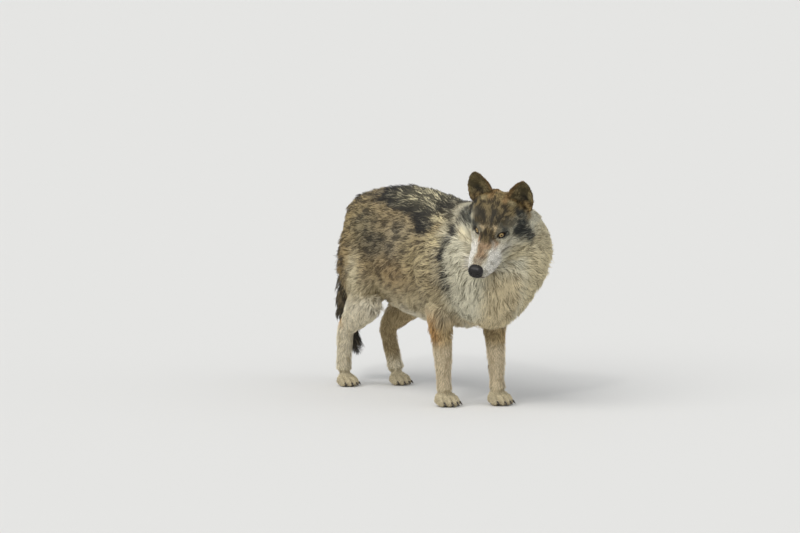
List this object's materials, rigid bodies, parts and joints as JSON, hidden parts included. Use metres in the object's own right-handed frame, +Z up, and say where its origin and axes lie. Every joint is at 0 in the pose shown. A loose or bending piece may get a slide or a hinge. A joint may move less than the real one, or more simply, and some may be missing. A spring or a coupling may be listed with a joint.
{
  "type": "standing grey wolf model",
  "caption": "Life-size model of an adult grey wolf in winter coat, standing with its head turned to its right, on flat soles.",
  "frame": {"origin": "on the floor below the middle of the model's bounding box", "axes": "+X the way the body faces, +Y to the animal's left, +Z up"},
  "size_m": [1.0768, 0.3498, 0.7712],
  "materials": {
    "coat": "dense winter fur, matt, black-grey on the back, buff and cream below",
    "nose_pad": "bare moist pebbled skin, satin",
    "eye": "wet glassy eyeball with an amber iris",
    "claw": "dark horn, satin"
  },
  "bodies": {
    "root": {"belly": "coat", "chest": "coat", "claw_fore_left_1": "claw", "claw_fore_left_2": "claw", "claw_fore_left_3": "claw", "claw_fore_left_4": "claw", "claw_fore_right_1": "claw", "claw_fore_right_2": "claw", "claw_fore_right_3": "claw", "claw_fore_right_4": "claw", "claw_hind_left_1": "claw", "claw_hind_left_2": "claw", "claw_hind_left_3": "claw", "claw_hind_left_4": "claw", "claw_hind_right_1": "claw", "claw_hind_right_2": "claw", "claw_hind_right_3": "claw", "claw_hind_right_4": "claw", "ear_left": "coat", "ear_right": "coat", "eye_left": "eye", "eye_right": "eye", "forearm_left": "coat", "forearm_right": "coat", "head": "coat", "lower_jaw": "coat", "neck": "coat", "nose": "nose_pad", "pastern_fore_left": "coat", "pastern_fore_right": "coat", "pastern_hind_left": "coat", "pastern_hind_right": "coat", "paw_fore_left": "coat", "paw_fore_right": "coat", "paw_hind_left": "coat", "paw_hind_right": "coat", "rump": "coat", "shank_left": "coat", "shank_right": "coat", "shoulder_left": "coat", "shoulder_right": "coat", "tail_base": "coat", "tail_middle": "coat", "tail_tip": "coat", "thigh_left": "coat", "thigh_right": "coat"}
  },
  "joints": []
}
